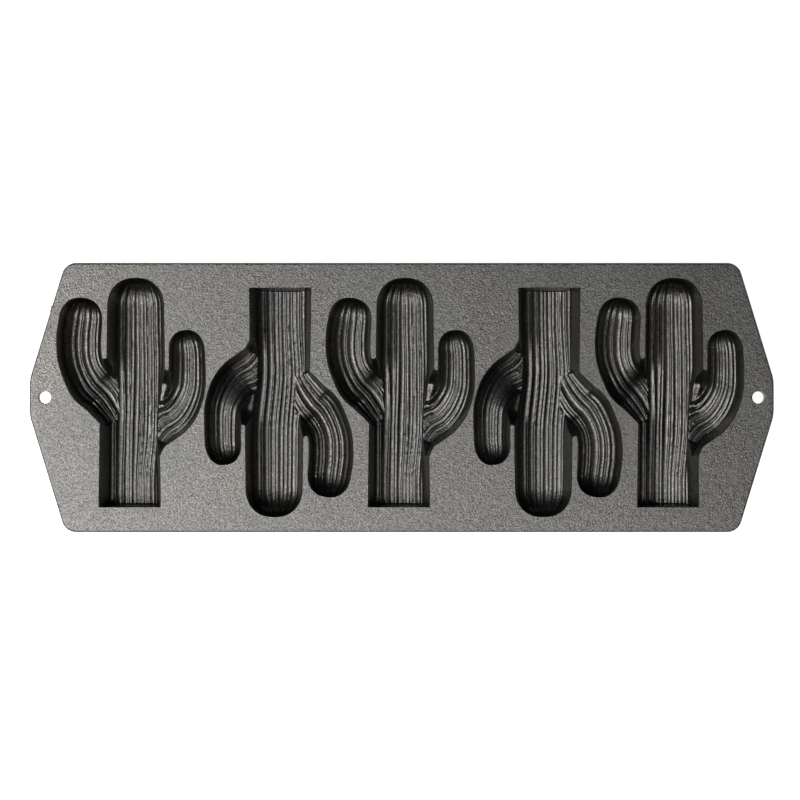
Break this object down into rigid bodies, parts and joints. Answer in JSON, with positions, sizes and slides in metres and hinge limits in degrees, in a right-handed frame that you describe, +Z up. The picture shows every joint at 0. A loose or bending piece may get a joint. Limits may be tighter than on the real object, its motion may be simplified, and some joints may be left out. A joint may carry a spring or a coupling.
{
  "type": "cast iron baking pan",
  "caption": "Flat cast iron baking pan with slanted ends, a hanging hole at each end, and a row of fluted cactus-shaped cavities laid head to foot.",
  "frame": {"origin": "middle of the pan seen from above, at the height of the cups' flat bottoms, which the pan stands on", "axes": "+X along the row of cavities, +Y across the row towards the long edge at the top of the picture, +Z up, out of the open cavities"},
  "size_m": [0.395, 0.143, 0.0254],
  "materials": {
    "seasoned_iron": "oiled and baked black seasoning over a fine sandy cast surface"
  },
  "bodies": {
    "root": {"deck": "seasoned_iron", "left_hang_tab": "seasoned_iron", "right_hang_tab": "seasoned_iron", "cactus_cup_1": "seasoned_iron", "cactus_cup_2": "seasoned_iron", "cactus_cup_3": "seasoned_iron", "cactus_cup_4": "seasoned_iron", "cactus_cup_5": "seasoned_iron"}
  },
  "joints": []
}
